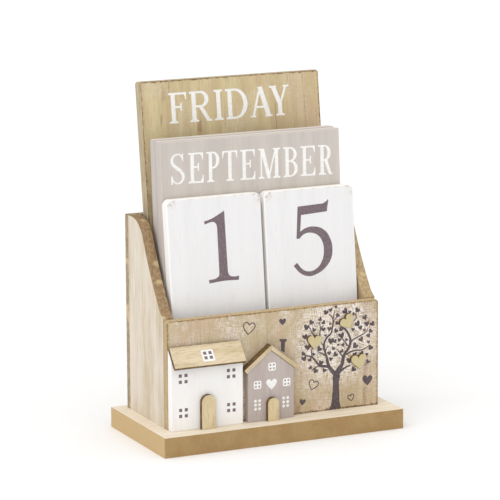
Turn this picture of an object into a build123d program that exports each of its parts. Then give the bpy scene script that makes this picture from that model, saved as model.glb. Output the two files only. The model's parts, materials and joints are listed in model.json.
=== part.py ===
from build123d import *
import math
import os

# Flip desk calendar: an open wooden tray on a base plate, with two little houses and three
# hearts glued to its front, and five loose calendar boards leaning back inside the tray.
# Millimetres. The front faces -Y, +X is to the right, Z = 0 is the underside of the base.

# ---------------------------------------------------------------- driving dimensions
# base plate
base_width = 130.0
base_depth = 68.0
base_thickness = 10.0
base_corner = 0.9            # rounding of the four upright corners
base_edge = 0.5              # easing of the top edge

# tray
side_setback = 7.5           # from the base's ends to the tray's sides
front_setback = 13.5         # from the base's front edge to the front panel's face
rear_setback = 4.0           # from the base's rear edge to the back panel's face
side_thickness = 5.5
panel_thickness = 4.2        # front and back panels
front_height = 54.0          # front panel, above the base
rear_height = 98.5           # back panel and the side panels' shoulders, above the base
shoulder_flat = 4.8          # level top of a side panel, in front of the back panel
shoulder_radius = 15.0       # round shoulder of a side panel
shoulder_turn = 65.0         # how far the shoulder turns before the sweep, degrees
sweep_step = 0.7             # where the sweep ends above the front panel
foot_run = 4.2               # the sweep flares out over this much depth at its foot
foot_rise = 3.0              # and over this much height
rim_edge = 0.4               # easing of the front panel's top edges
panel_corner = 1.8           # rounding of the front panel's two top corners

# loose boards
board_thickness = 5.9
board_edge = 0.4             # easing all round a board's two faces
day_length = 164.3
day_corner = 1.5
month_length = 137.3
month_corner = 0.8
tile_length = 110.0
tile_corner = 3.2
tile_gap = 1.8               # between the two number tiles

# how the loose boards stand in the tray
day_play = 6.2               # side to side play of the day board in the tray
month_play = 6.3
tile_play = 2.8              # play of the two number tiles together
left_tile_share = 0.507      # of the width that the two tiles share
day_shift = -0.13            # off-centre places, as shares of the play
month_shift = -0.19
rear_month_shift = -0.14
tile_shift = 0.20
rest_gap = 0.2               # under a board standing in the tray
board_gap = 0.3              # between one board and the next, and to the back panel
front_clear = 0.35           # between the tiles' feet and the front panel
slack_behind = 0.757         # share of the tray's spare depth left behind the day board's foot
month_lean_share = 0.53      # the month boards stand steeper than the day board

# white house, heights above the base
house_thickness = 4.2
house_inset = 0.3            # from the tray's left side to the house's
white_width = 38.2
white_height = 40.0          # where its sloping top meets the front panel
slab_pitch = 50.0            # slope of the roof slab and of the top it lies on, degrees
slab_thickness = 2.0
slab_length = 11.4           # down the slope
slab_inset = 0.2             # at both ends of the slab
door_thickness = 2.5
white_door_place = 18.8      # from the wall's left side to the door's middle
white_door_width = 7.5
white_door_height = 17.1

# taupe house
house_gap = 2.75             # between the two houses
taupe_width = 24.9
taupe_wall = 25.4            # height of its side walls
roof_pitch = 38.2
roof_thickness = 2.1
roof_depth = 4.6
roof_overhang = 2.1
taupe_door_place = 12.65     # from the wall's left side to the door's middle
taupe_door_width = 6.1
taupe_door_height = 11.8

# wooden hearts glued over the tree: place across the panel right of the houses (share),
# drop below the front panel's top, width, height, turn in degrees
heart_thickness = 2.0
heart_left = (0.255, 18.1, 7.5, 7.0, -3.0)
heart_top = (0.636, 9.8, 7.9, 7.3, 36.0)
heart_right = (0.760, 30.4, 8.4, 7.2, 5.0)

# fasteners
pin_radius = 0.6
pin_length = 12.0
pin_head_radius = 1.1
pin_head = 0.8
pin_inset = 16.0             # from the back panel's top and bottom edges
screw_radius = 1.25
screw_head_radius = 2.5
screw_head = 1.9
screw_below_pin = 3.0        # from a screw's tip up to the lowest pins
screw_inset = 8.0            # from each end of a side panel
screw_sink = 0.1             # screw heads sit this far inside the base
recess_length = 2.6          # cross recess in a screw head
recess_width = 0.6
recess_depth = 0.9
hole_clear = 0.05            # fasteners to their holes
hole_end = 0.4               # beyond the ends of the fasteners

# ---------------------------------------------------------------- derived positions
floor_z = base_thickness
tray_width = base_width - 2 * side_setback
front_y = -base_depth / 2 + front_setback
back_y = base_depth / 2 - rear_setback
tray_front = front_y + panel_thickness
tray_back = back_y - panel_thickness
half_tray = tray_width / 2
half_room = half_tray - side_thickness
front_top = floor_z + front_height
rear_top = floor_z + rear_height
stand_z = floor_z + rest_gap
house_face = front_y - house_thickness
screw_bite = pin_inset - screw_below_pin

white_left = -half_tray + house_inset
taupe_left = white_left + white_width + house_gap
taupe_centre = taupe_left + taupe_width / 2
taupe_right = taupe_left + taupe_width

day_width = 2 * half_room - day_play
month_width = 2 * half_room - month_play
tiles_width = 2 * half_room - tile_play
tile_left_width = (tiles_width - tile_gap) * left_tile_share
tile_right_width = tiles_width - tile_gap - tile_left_width
tiles_left = tile_shift * tile_play - tiles_width / 2


# Leans and feet of the loose boards, from the back of the tray to the front. A foot is the Y of
# a board's rear bottom edge, which is the edge that a board leaning back stands on.
def sine(angle):
    return math.sin(math.radians(angle))


def cosine(angle):
    return math.cos(math.radians(angle))


def tangent(angle):
    return math.tan(math.radians(angle))


spare_depth = tray_back - tray_front - 4 * board_thickness - 3 * board_gap - front_clear

# the day board leans on the top edge of the back panel
day_foot = tray_back - slack_behind * spare_depth
day_lean = math.degrees(math.atan2(tray_back - board_gap - day_foot, rear_top - stand_z))

# the month boards stand in front of the day board's foot, one against the other
month_lean = month_lean_share * day_lean
day_face_foot = day_foot - board_thickness * cosine(day_lean)
rear_month_foot = (day_face_foot - board_gap / cosine(month_lean)
                   - board_thickness * sine(day_lean) * tangent(month_lean))
front_month_foot = rear_month_foot - (board_thickness + board_gap) / cosine(month_lean)

# the number tiles stand against the front panel and lean their top edges on the month board:
# their lean solves reach * sin(lean + offset) = gap_ahead
month_face = front_month_foot - board_thickness / cosine(month_lean)
gap_ahead = month_face - board_gap / cosine(month_lean) - tray_front - front_clear
side_on = board_thickness - tile_length * tangent(month_lean)
reach = math.hypot(tile_length, side_on)
tile_lean = math.degrees(math.asin(gap_ahead / reach) - math.atan2(side_on, tile_length))
tile_foot = tray_front + front_clear + board_thickness * cosine(tile_lean)


# a solid placed by the middle of its lower end
FOOT = (Align.CENTER, Align.CENTER, Align.MIN)


def in_front_plane(y):
    """A sketch plane seen from the front: X to the right, up is +Z, pushed out towards -Y."""
    return Plane(origin=(0, y, 0), x_dir=(1, 0, 0), z_dir=(0, -1, 0))


def seen_from_right(x):
    """A sketch plane across the object: its first axis is +Y, up is +Z, pushed out towards +X."""
    return Plane(origin=(x, 0, 0), x_dir=(0, 1, 0), z_dir=(1, 0, 0))


# ---------------------------------------------------------------- base plate
def make_base_plate():
    with BuildPart() as base:
        with BuildSketch():
            RectangleRounded(base_width, base_depth, base_corner)
        extrude(amount=base_thickness)
        fillet(base.faces().sort_by(Axis.Z)[-1].edges(), base_edge)
        # countersunk clearance holes for the screws that come up from below
        for x, y in screw_places():
            with Locations((x, y, 0)):
                Cylinder(screw_radius + hole_clear, base_thickness, align=FOOT, mode=Mode.SUBTRACT)
                Cone(screw_head_radius + screw_sink, screw_radius + hole_clear,
                     screw_head + screw_sink, align=FOOT, mode=Mode.SUBTRACT)
    return base.part


def screw_places():
    x = half_tray - side_thickness / 2
    return [(sx * x, y) for sx in (-1, 1) for y in (tray_front + screw_inset, tray_back - screw_inset)]


def make_base_screws():
    """Four small countersunk wood screws, their heads just under the base's underside."""
    length = base_thickness + screw_bite
    with BuildPart() as screws:
        for x, y in screw_places():
            with Locations((x, y, screw_sink)):
                Cylinder(screw_radius, length, align=FOOT)
                Cone(screw_head_radius, screw_radius, screw_head, align=FOOT)
                Box(recess_length, recess_width, recess_depth, align=FOOT, mode=Mode.SUBTRACT)
                Box(recess_width, recess_length, recess_depth, align=FOOT, mode=Mode.SUBTRACT)
    return screws.part


# ---------------------------------------------------------------- tray
def make_side_panel(side):
    """Upright side: level top, round shoulder, then a long sweep that flares at the front panel."""
    x0 = -half_tray if side < 0 else half_room
    with BuildPart() as panel:
        with BuildSketch(seen_from_right(x0)):
            with BuildLine():
                level = Line((tray_back, rear_top), (tray_back - shoulder_flat, rear_top))
                shoulder = JernArc(level @ 1, (-1, 0), shoulder_radius, shoulder_turn)
                foot = (tray_front, front_top + sweep_step)
                sweep = TangentArc(shoulder @ 1, (foot[0] + foot_run, foot[1] + foot_rise),
                                   tangent=shoulder % 1)
                TangentArc(sweep @ 1, foot, tangent=sweep % 1)
                Polyline(foot, (tray_front, floor_z), (tray_back, floor_z), level @ 0)
            make_face()
        extrude(amount=side_thickness)
        for x, y in screw_places():
            if x * side > 0:
                with Locations((x, y, floor_z)):
                    Cylinder(screw_radius + hole_clear, screw_bite + hole_end, align=FOOT,
                             mode=Mode.SUBTRACT)
        for x, z in pin_places():
            if x * side > 0:
                with Locations(Location((x, tray_back, z), (90, 0, 0))):
                    Cylinder(pin_radius + hole_clear, pin_length - panel_thickness + hole_end,
                             align=FOOT, mode=Mode.SUBTRACT)
    return panel.part


def pin_places():
    x = half_tray - side_thickness / 2
    heights = (pin_inset, rear_height / 2, rear_height - pin_inset)
    return [(sx * x, floor_z + z) for sx in (-1, 1) for z in heights]


def make_back_panel():
    """Laps behind both side panels and is pinned to their rear edges."""
    with BuildPart() as panel:
        with Locations((0, (tray_back + back_y) / 2, floor_z)):
            Box(tray_width, panel_thickness, rear_height, align=FOOT)
        for x, z in pin_places():
            with Locations(Location((x, back_y, z), (90, 0, 0))):
                Cylinder(pin_radius + hole_clear, panel_thickness, align=FOOT, mode=Mode.SUBTRACT)
                Cylinder(pin_head_radius + hole_clear, pin_head, align=FOOT, mode=Mode.SUBTRACT)
    return panel.part


def make_back_pins():
    """Six small round-headed panel pins, heads flush with the back panel."""
    with BuildPart() as pins:
        for x, z in pin_places():
            with Locations(Location((x, back_y, z), (90, 0, 0))):
                Cylinder(pin_radius, pin_length, align=FOOT)
                Cylinder(pin_head_radius, pin_head, align=FOOT)
    return pins.part


def make_front_panel():
    """Low front of the tray, lapping over the side panels' front edges."""
    with BuildPart() as panel:
        with Locations((0, (front_y + tray_front) / 2, floor_z)):
            Box(tray_width, panel_thickness, front_height, align=FOOT)
        fillet(panel.edges().filter_by(Axis.Y).group_by(Axis.Z)[-1], panel_corner)
        rim = panel.edges().filter_by(Axis.X).group_by(Axis.Z)[-1]
        fillet(rim, rim_edge)
    return panel.part


# ---------------------------------------------------------------- white house
def make_white_house_body():
    """Flat block glued to the front panel, its top cut to the slope of the roof."""
    back_top = floor_z + white_height
    front_top_edge = back_top - house_thickness * tangent(slab_pitch)
    with BuildPart() as body:
        with BuildSketch(seen_from_right(white_left)):
            with BuildLine():
                Polyline((front_y, floor_z), (house_face, floor_z), (house_face, front_top_edge),
                         (front_y, back_top), close=True)
            make_face()
        extrude(amount=white_width)
    return body.part


def make_white_house_roof():
    """Roof board lying on the sloping top, its upper edge against the front panel."""
    along = Vector(0, -cosine(slab_pitch), -sine(slab_pitch)) * slab_length
    out = Vector(0, -sine(slab_pitch), cosine(slab_pitch)) * slab_thickness
    top = Vector(0, front_y, floor_z + white_height)
    corners = [top, top + along, top + along + out, top + out]
    with BuildPart() as slab:
        with BuildSketch(seen_from_right(white_left + slab_inset)):
            with BuildLine():
                Polyline(*[(corner.Y, corner.Z) for corner in corners], close=True)
            make_face()
        extrude(amount=white_width - 2 * slab_inset)
    return slab.part


def make_door(centre, width, height):
    """Round-topped door standing on the base, glued to the front of a house."""
    radius = width / 2
    with BuildPart() as door:
        with BuildSketch(in_front_plane(house_face)):
            with Locations((centre, floor_z + (height - radius) / 2)):
                Rectangle(width, height - radius)
            with Locations((centre, floor_z + height - radius)):
                Circle(radius)
        extrude(amount=door_thickness)
    return door.part


# ---------------------------------------------------------------- taupe house
def gable_rise():
    return taupe_width / 2 * tangent(roof_pitch)


def make_taupe_house_body():
    wall = floor_z + taupe_wall
    with BuildPart() as body:
        with BuildSketch(in_front_plane(front_y)):
            with BuildLine():
                Polyline((taupe_left, floor_z), (taupe_right, floor_z), (taupe_right, wall),
                         (taupe_centre, wall + gable_rise()), (taupe_left, wall), close=True)
            make_face()
        extrude(amount=house_thickness)
    return body.part


def make_taupe_roof(side):
    """One of two wooden strips lying on the gable, mitred at the ridge and sawn square."""
    run = taupe_width / 2 + roof_overhang
    short_run = run - roof_thickness * sine(roof_pitch)
    low = floor_z + taupe_wall + gable_rise()
    high = low + roof_thickness / cosine(roof_pitch)
    with BuildPart() as strip:
        with BuildSketch(in_front_plane(front_y)):
            with BuildLine():
                Polyline((taupe_centre, low), (taupe_centre, high),
                         (taupe_centre + side * run, high - run * tangent(roof_pitch)),
                         (taupe_centre + side * short_run, low - short_run * tangent(roof_pitch)),
                         close=True)
            make_face()
        extrude(amount=roof_depth)
    return strip.part


# ---------------------------------------------------------------- wooden hearts
def make_heart(spec):
    """Small cut-out heart glued to the front panel: two round lobes drawn in to a point."""
    share, drop, width, height, turn = spec
    cx = taupe_right + share * (half_tray - taupe_right)
    cz = front_top - drop
    r = width / 4
    tip = height - r
    d2 = r * r + tip * tip
    side = (2 * r * tip * tip / d2, 2 * tip ** 3 / d2 - 2 * tip)
    middle = (height - 2 * r) / 2
    with BuildPart() as heart:
        with BuildSketch(in_front_plane(front_y)):
            with Locations(Location((cx, cz, 0), (0, 0, turn))):
                with Locations((-r, middle), (r, middle)):
                    Circle(r)
                with Locations((0, middle)):
                    Polygon((0, 0), (-side[0], side[1]), (0, -tip), side, align=None)
        extrude(amount=heart_thickness)
    return heart.part


# ---------------------------------------------------------------- loose boards
def make_board(x, foot, width, length, corner, lean):
    """A flat board with eased edges, standing on its rear bottom edge and leaning back."""
    with BuildPart() as board:
        with BuildSketch(in_front_plane(0)):
            with Locations((0, length / 2)):
                RectangleRounded(width, length, corner)
        extrude(amount=board_thickness)
        faces = board.faces().sort_by(Axis.Y)
        chamfer(faces[0].edges() + faces[-1].edges(), board_edge)
    return Location((x, foot, stand_z)) * Rot(-lean, 0, 0) * board.part


tile_left_x = tiles_left + tile_left_width / 2
tile_right_x = tiles_left + tile_left_width + tile_gap + tile_right_width / 2

nodes = {
    "base_plate": make_base_plate(),
    "base_screws": make_base_screws(),
    "left_side_panel": make_side_panel(-1),
    "right_side_panel": make_side_panel(1),
    "back_panel": make_back_panel(),
    "back_pins": make_back_pins(),
    "front_panel": make_front_panel(),
    "white_house_body": make_white_house_body(),
    "white_house_roof": make_white_house_roof(),
    "white_house_door": make_door(white_left + white_door_place, white_door_width, white_door_height),
    "taupe_house_body": make_taupe_house_body(),
    "taupe_roof_left": make_taupe_roof(-1),
    "taupe_roof_right": make_taupe_roof(1),
    "taupe_house_door": make_door(taupe_left + taupe_door_place, taupe_door_width, taupe_door_height),
    "heart_left": make_heart(heart_left),
    "heart_top": make_heart(heart_top),
    "heart_right": make_heart(heart_right),
    "day_board": make_board(day_shift * day_play, day_foot, day_width, day_length, day_corner,
                            day_lean),
    "month_board_rear": make_board(rear_month_shift * month_play, rear_month_foot, month_width,
                                   month_length, month_corner, month_lean),
    "month_board_front": make_board(month_shift * month_play, front_month_foot, month_width,
                                    month_length, month_corner, month_lean),
    "number_tile_left": make_board(tile_left_x, tile_foot, tile_left_width, tile_length,
                                   tile_corner, tile_lean),
    "number_tile_right": make_board(tile_right_x, tile_foot, tile_right_width, tile_length,
                                    tile_corner, tile_lean),
}

os.makedirs("parts", exist_ok=True)
for name, shape in nodes.items():
    export_step(shape, f"parts/{name}.step")
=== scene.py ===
# %% [markdown]
# # A wooden flip calendar
# The object is a small open tray on a plinth, cut from thin boards, with two little houses and a
# printed tree on its front. Five loose boards stand in it: a weekday, two months and two numbers.
# The solid parts come from the CAD frame. This notebook sets the camera and the light, paints the
# parts, breaks their edges, and prints the lettering, the tree and the windows on them.

# %% load the frame
import json
import math
import random
import bmesh
import bpy
from mathutils import Matrix, Vector

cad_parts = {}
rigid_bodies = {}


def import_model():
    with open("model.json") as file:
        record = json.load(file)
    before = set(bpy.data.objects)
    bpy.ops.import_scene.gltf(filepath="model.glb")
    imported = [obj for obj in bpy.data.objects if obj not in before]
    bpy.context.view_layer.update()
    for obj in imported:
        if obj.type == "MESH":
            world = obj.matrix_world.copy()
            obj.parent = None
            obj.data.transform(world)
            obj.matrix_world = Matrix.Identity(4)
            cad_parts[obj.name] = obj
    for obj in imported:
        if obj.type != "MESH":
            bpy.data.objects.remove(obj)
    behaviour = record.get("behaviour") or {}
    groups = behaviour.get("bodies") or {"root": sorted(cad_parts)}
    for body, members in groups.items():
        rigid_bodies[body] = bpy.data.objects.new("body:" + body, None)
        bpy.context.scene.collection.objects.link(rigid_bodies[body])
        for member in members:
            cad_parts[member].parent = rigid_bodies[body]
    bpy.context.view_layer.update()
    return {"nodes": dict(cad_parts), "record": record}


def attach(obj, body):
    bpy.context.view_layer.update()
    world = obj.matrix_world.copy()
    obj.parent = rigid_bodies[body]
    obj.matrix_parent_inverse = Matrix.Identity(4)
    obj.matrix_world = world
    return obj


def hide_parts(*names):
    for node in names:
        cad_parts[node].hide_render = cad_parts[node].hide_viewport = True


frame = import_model()
nodes = frame["nodes"]
MM = 0.001
BODY_OF = {name: body for body, names in frame["record"]["behaviour"]["bodies"].items() for name in names}

# %% [markdown]
# ## Camera
# A long lens far away keeps the perspective calm. The camera is set first, because everything
# after it is judged through it: where it stands, which way it looks, and how far it zooms. It could
# be aimed by a constraint at a target. A matrix made of three directions needs no target, and it
# holds the small tilt as well.

# %% camera
CAMERA_PLACE = Vector((-600.1, -1275.1, 375.6)) * MM
LOOK_RIGHT = math.radians(25.08)
LOOK_DOWN = math.radians(11.44)
TILT = math.radians(-0.28)
LENS = 209.5
SENSOR = 36

ahead = Vector((math.sin(LOOK_RIGHT) * math.cos(LOOK_DOWN), math.cos(LOOK_RIGHT) * math.cos(LOOK_DOWN),
                -math.sin(LOOK_DOWN)))
level = Vector((math.cos(LOOK_RIGHT), -math.sin(LOOK_RIGHT), 0))
upright = level.cross(ahead)
right = level * math.cos(TILT) + upright * math.sin(TILT)
over = upright * math.cos(TILT) - level * math.sin(TILT)
camera_data = bpy.data.cameras.new("camera")
camera_data.lens = LENS
camera_data.sensor_width = SENSOR
camera_data.clip_start = 0.05
camera_data.clip_end = 20
camera = bpy.data.objects.new("camera", camera_data)
bpy.context.scene.collection.objects.link(camera)
camera.matrix_world = Matrix.Translation(CAMERA_PLACE) @ Matrix((right, over, -ahead)).transposed().to_4x4()
bpy.context.scene.camera = camera
print("camera is", round(CAMERA_PLACE.length, 3), "m from the origin")

# %% [markdown]
# ## Light and floor
# The object stands on a white floor in broad, even light, as in a light tent. A pale world does
# much of the work. A broad soft light from the left makes the left-hand sides the brightest, and
# one overhead keeps the floor white. Area lamps would fade along the object, so these are suns, made
# soft by a very wide angle.

# %% light and floor
WORLD_STRENGTH = 0.59
KEY_STRENGTH = 0.97
TOP_STRENGTH = 1.03
KEY_FROM = (-1.0, -0.5, 0.75)
KEY_SPREAD = 80
TOP_FROM = (0.1, -0.1, 1.0)
TOP_SPREAD = 90
FLOOR_SIZE = 6.0


def far_light(name, source, spread, strength):
    """Light from far away in the direction of source, softened by its spread in degrees."""
    data = bpy.data.lights.new(name, "SUN")
    data.energy = strength
    data.angle = math.radians(spread)
    lamp = bpy.data.objects.new(name, data)
    lamp.matrix_world = Vector(source).to_track_quat("Z", "Y").to_matrix().to_4x4()
    bpy.context.scene.collection.objects.link(lamp)


far_light("key_light", KEY_FROM, KEY_SPREAD, KEY_STRENGTH)
far_light("top_light", TOP_FROM, TOP_SPREAD, TOP_STRENGTH)
world = bpy.data.worlds.new("studio")
bpy.context.scene.world = world
world.use_nodes = True
world.node_tree.nodes["Background"].inputs["Color"].default_value = (1, 1, 1, 1)
world.node_tree.nodes["Background"].inputs["Strength"].default_value = WORLD_STRENGTH
bpy.context.scene.view_settings.view_transform = "Standard"

floor_mesh = bpy.data.meshes.new("floor")
floor_bm = bmesh.new()
bmesh.ops.create_grid(floor_bm, x_segments=2, y_segments=2, size=FLOOR_SIZE)
floor_bm.to_mesh(floor_mesh)
floor_bm.free()
floor = bpy.data.objects.new("floor", floor_mesh)
bpy.context.scene.collection.objects.link(floor)
floor_reach = max(vert.co.x for vert in floor_mesh.vertices)
print("lights:", len(bpy.data.lights), "and the floor reaches", floor_reach, "m each way")

# %% [markdown]
# ## Node helpers
# Materials are built from small pieces, so a few helpers keep them readable: one adds a node and
# plugs its inputs, one mixes two colours by a mask, and one turns a value into a soft-edged mask.

# %% node helpers


def paint(code):
    """A web colour as the linear RGBA that shaders expect."""
    values = [int(code[i:i + 2], 16) / 255 for i in (1, 3, 5)]
    return [v / 12.92 if v <= 0.04045 else ((v + 0.055) / 1.055) ** 2.4 for v in values] + [1.0]


def add(tree, kind, plugs=None, **settings):
    """Adds a node. Plugs are input: a value, a web colour, or another node's output."""
    made = tree.nodes.new(kind)
    for key, value in settings.items():
        setattr(made, key, value)
    for key, value in (plugs or {}).items():
        if isinstance(value, bpy.types.NodeSocket):
            tree.links.new(value, made.inputs[key])
        elif isinstance(value, str):
            made.inputs[key].default_value = paint(value)
        else:
            made.inputs[key].default_value = value
    return made


def mix(tree, mask, below, above):
    """Colour below where the mask is 0, above where it is 1."""
    return add(tree, "ShaderNodeMix", {0: mask, 6: below, 7: above}, data_type="RGBA").outputs[2]


def calc(tree, operation, a, b=0.0):
    """One sum on one or two values."""
    return add(tree, "ShaderNodeMath", {0: a, 1: b}, operation=operation).outputs[0]


def soften(tree, value, low, high, start=0.0, end=1.0):
    """Maps low..high to start..end with soft ends."""
    return add(tree, "ShaderNodeMapRange", {"Value": value, "From Min": low, "From Max": high,
               "To Min": start, "To Max": end}, interpolation_type="SMOOTHSTEP").outputs["Result"]


def noise(tree, vector, scale, detail=2.0, roughness=0.5):
    """Cloudy noise around 0.5. A larger scale is finer."""
    return add(tree, "ShaderNodeTexNoise", {"Vector": vector, "Scale": scale, "Detail": detail,
               "Roughness": roughness}).outputs["Fac"]


def stretch(tree, vector, factors):
    """Coordinates times factors. A factor under 1 draws a pattern out along that axis."""
    return add(tree, "ShaderNodeVectorMath", {0: vector, 1: factors}, operation="MULTIPLY").outputs[0]


def new_group(name, inputs, outputs):
    """An empty node group. Inputs are name: kind, Float or Vector, and outputs are names of masks."""
    group = bpy.data.node_groups.new(name, "ShaderNodeTree")
    for key, kind in inputs.items():
        group.interface.new_socket(key, in_out="INPUT", socket_type="NodeSocket" + kind)
    for key in outputs:
        group.interface.new_socket(key, in_out="OUTPUT", socket_type="NodeSocketFloat")
    return group, group.nodes.new("NodeGroupInput"), group.nodes.new("NodeGroupOutput")


def use_group(tree, group, plugs):
    """Places a node group, and gives its outputs."""
    return add(tree, "ShaderNodeGroup", plugs, node_tree=group).outputs


print("the web colour #808080 as linear light:", [round(v, 3) for v in paint("#808080")])

# %% [markdown]
# ## Grain
# Every board here is wood, or a print of wood, with its grain running up the board. Grain is noise
# squeezed across the board and drawn out along it: broad soft bands, fine lines over them, and finer
# pores. A picture of wood would have to be laid out on every board, and noise needs no laying out.
# It is one group, so each material only sets how fine it is and how far it is drawn out.

# %% grain group
# how fine the bands and the pores are beside the lines, and how far the grain sways, in metres
BAND_SHARE = 0.13
PORE_SHARE = 2.2
SWAY = 0.002

grain_group, g_in, g_out = new_group("grain", {"Vector": "Vector", "Fineness": "Float", "Draw": "Float"},
                                     ("Bands", "Lines", "Pores"))
wobble = add(grain_group, "ShaderNodeTexNoise", {"Vector": g_in.outputs["Vector"], "Scale": 28.0})
sway = stretch(grain_group, wobble.outputs["Color"], (SWAY, 0.0, SWAY))
swayed = add(grain_group, "ShaderNodeVectorMath", {0: g_in.outputs["Vector"], 1: sway}, operation="ADD")
along = add(grain_group, "ShaderNodeCombineXYZ", {"X": 1.0, "Y": g_in.outputs["Draw"], "Z": 1.0})
drawn = stretch(grain_group, swayed.outputs[0], along.outputs[0])
fineness = g_in.outputs["Fineness"]
broad = calc(grain_group, "MULTIPLY", fineness, BAND_SHARE)
pore_scale = calc(grain_group, "MULTIPLY", fineness, PORE_SHARE)
for key, scale, detail, roughness in (("Bands", broad, 3.0, 0.5), ("Lines", fineness, 5.0, 0.65),
                                      ("Pores", pore_scale, 2.0, 0.7)):
    grain_group.links.new(noise(grain_group, drawn, scale, detail, roughness), g_out.inputs[key])
print("grain group puts out:", [key for key in g_out.inputs.keys() if key])

# %% [markdown]
# ## Wear along edges
# Paint and print rub off first at a board's outline. This group measures how far a point is from
# the outline of a flat board, which lies centred across X, from 0 up to its length along Y. Noise
# makes the rubbed line ragged. Other masks keep only the top edge, the bottom edge, a plain line
# all round, and the two top corners, which are rubbed most. The masks could be painted by hand, but
# measured ones still fit when a board changes its size.

# %% wear group
# distances from the edge, in metres, where the plain line and the corner wear fade in and are full
RIM_LINE = (0.001, 0.0004)
CORNER_WEAR = (0.0065, 0.0015)

wear_group, w_in, w_out = new_group(
    "edge_wear", {"Vector": "Vector", "Half width": "Float", "Length": "Float", "Reach": "Float"},
    ("Outline", "Top", "Bottom", "Rim", "Corner"))
split = add(wear_group, "ShaderNodeSeparateXYZ", {"Vector": w_in.outputs["Vector"]})
side_gap = calc(wear_group, "SUBTRACT", w_in.outputs["Half width"],
                calc(wear_group, "ABSOLUTE", split.outputs["X"]))
top_gap = calc(wear_group, "SUBTRACT", w_in.outputs["Length"], split.outputs["Y"])
end_gap = calc(wear_group, "MINIMUM", top_gap, split.outputs["Y"])
rim_gap = calc(wear_group, "MINIMUM", side_gap, end_gap)
ragged = calc(wear_group, "MULTIPLY", noise(wear_group, w_in.outputs["Vector"], 420.0, 4.0, 0.7), 2.0)
limit = calc(wear_group, "MULTIPLY", w_in.outputs["Reach"], calc(wear_group, "SUBTRACT", ragged, 0.35))
for key, gap in (("Outline", rim_gap), ("Top", top_gap), ("Bottom", split.outputs["Y"])):
    left_over = calc(wear_group, "DIVIDE", calc(wear_group, "SUBTRACT", limit, gap), w_in.outputs["Reach"])
    wear_group.links.new(soften(wear_group, left_over, -0.1, 0.35), w_out.inputs[key])
wear_group.links.new(soften(wear_group, rim_gap, *RIM_LINE), w_out.inputs["Rim"])
side_square = calc(wear_group, "MULTIPLY", side_gap, side_gap)
top_square = calc(wear_group, "MULTIPLY", top_gap, top_gap)
corner_gap = calc(wear_group, "SQRT", calc(wear_group, "ADD", side_square, top_square))
wear_group.links.new(soften(wear_group, corner_gap, *CORNER_WEAR), w_out.inputs["Corner"])
print("groups:", [group.name for group in bpy.data.node_groups])

# %% [markdown]
# ## Where a board's face is
# Lettering and grain both follow a board's own face, and the loose boards lean back at their own
# angles. So the face is read from the board itself: its largest flat facet gives the way it
# faces, and its outline gives its middle, its foot and its length.

# %% face frames
FRONT = (0, -1, 0)
BACK = (0, 1, 0)
# the least cosine between the way a face looks and a facet that may belong to it
SAME_WAY = 0.72


class Face:
    """A board's broad face: X across, Y up the board, Z straight out of it, 0 at the foot's middle."""

    def __init__(self, node, toward):
        mesh = nodes[node].data
        toward = Vector(toward)
        facets = [p for p in mesh.polygons if p.normal.dot(toward) > SAME_WAY]
        out = max(facets, key=lambda p: p.area).normal.copy()
        across = Vector((0, 0, 1)).cross(out).normalized()
        up = out.cross(across)
        spots = [(v.co.dot(across), v.co.dot(up), v.co.dot(out)) for v in mesh.vertices]
        low = [min(s[i] for s in spots) for i in range(3)]
        high = [max(s[i] for s in spots) for i in range(3)]
        origin = across * (low[0] + high[0]) / 2 + up * low[1] + out * high[2]
        self.matrix = Matrix.Translation(origin) @ Matrix((across, up, out)).transposed().to_4x4()
        self.half_width = (high[0] - low[0]) / 2
        self.length = high[1] - low[1]
        self.out = out


faces = {name: Face(name, FRONT) for name in nodes if name not in ("base_screws", "back_pins")}
for name in ("day_board", "month_board_front", "number_tile_left"):
    lean = math.degrees(math.asin(faces[name].out.z))
    print(name, "leans", round(lean, 2), "deg, is", round(faces[name].length / MM, 1), "mm long")

# %% [markdown]
# ## A finish for every piece
# A finish is a material with a pattern laid out on the piece's own face. Its cut edges differ from
# its faces, so a mask says which way the surface looks. One relief drives both the bump and the
# roughness, so that a hollow in the grain is duller than a crest, as it is on rubbed wood.

# %% finish helpers
# how much rougher a hollow is, and how much smoother a crest, than the finish as a whole
DULLER = 0.07
RELIEF = 0.7
# cosines of the angles at which a surface stops and starts to count as facing a way
TURNED_AWAY = 0.75
FACE_ON = 0.93
# the material of each node, filled in as the finishes are made
finish = {}


def on_face(tree, face):
    """Coordinates on a face, from the piece's own coordinates."""
    own = add(tree, "ShaderNodeTexCoord").outputs["Object"]
    return add(tree, "ShaderNodeMapping", {"Vector": own, "Location": face.matrix.translation,
               "Rotation": face.matrix.to_euler()}, vector_type="TEXTURE").outputs["Vector"]


def facing(tree, direction):
    """1 where the surface faces that way, 0 where it turns away by more than about 40 degrees."""
    normal = add(tree, "ShaderNodeTexCoord").outputs["Normal"]
    level_with = add(tree, "ShaderNodeVectorMath", {0: normal, 1: direction}, operation="DOT_PRODUCT")
    return soften(tree, level_with.outputs["Value"], TURNED_AWAY, FACE_ON)


def new_material(name, roughness, specular=0.3):
    """An empty finish: its material, its node tree and its shader."""
    material = bpy.data.materials.new(name)
    material.use_nodes = True
    shader = material.node_tree.nodes["Principled BSDF"]
    shader.inputs["Roughness"].default_value = roughness
    shader.inputs["Specular IOR Level"].default_value = specular
    return material, material.node_tree, shader


def finish_shader(tree, shader, colour, height, depth):
    """Plugs in a colour and a relief whose full height is depth, in metres. The hollows of the
    relief are a little duller than its crests."""
    tree.links.new(colour, shader.inputs["Base Color"])
    middle = shader.inputs["Roughness"].default_value
    dull = soften(tree, height, 0.3, 0.7, middle + DULLER, middle - DULLER)
    tree.links.new(dull, shader.inputs["Roughness"])
    relief = add(tree, "ShaderNodeBump", {"Height": height, "Distance": depth, "Strength": RELIEF})
    tree.links.new(relief.outputs["Normal"], shader.inputs["Normal"])


print("pieces that need a finish:", len(nodes))

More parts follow.
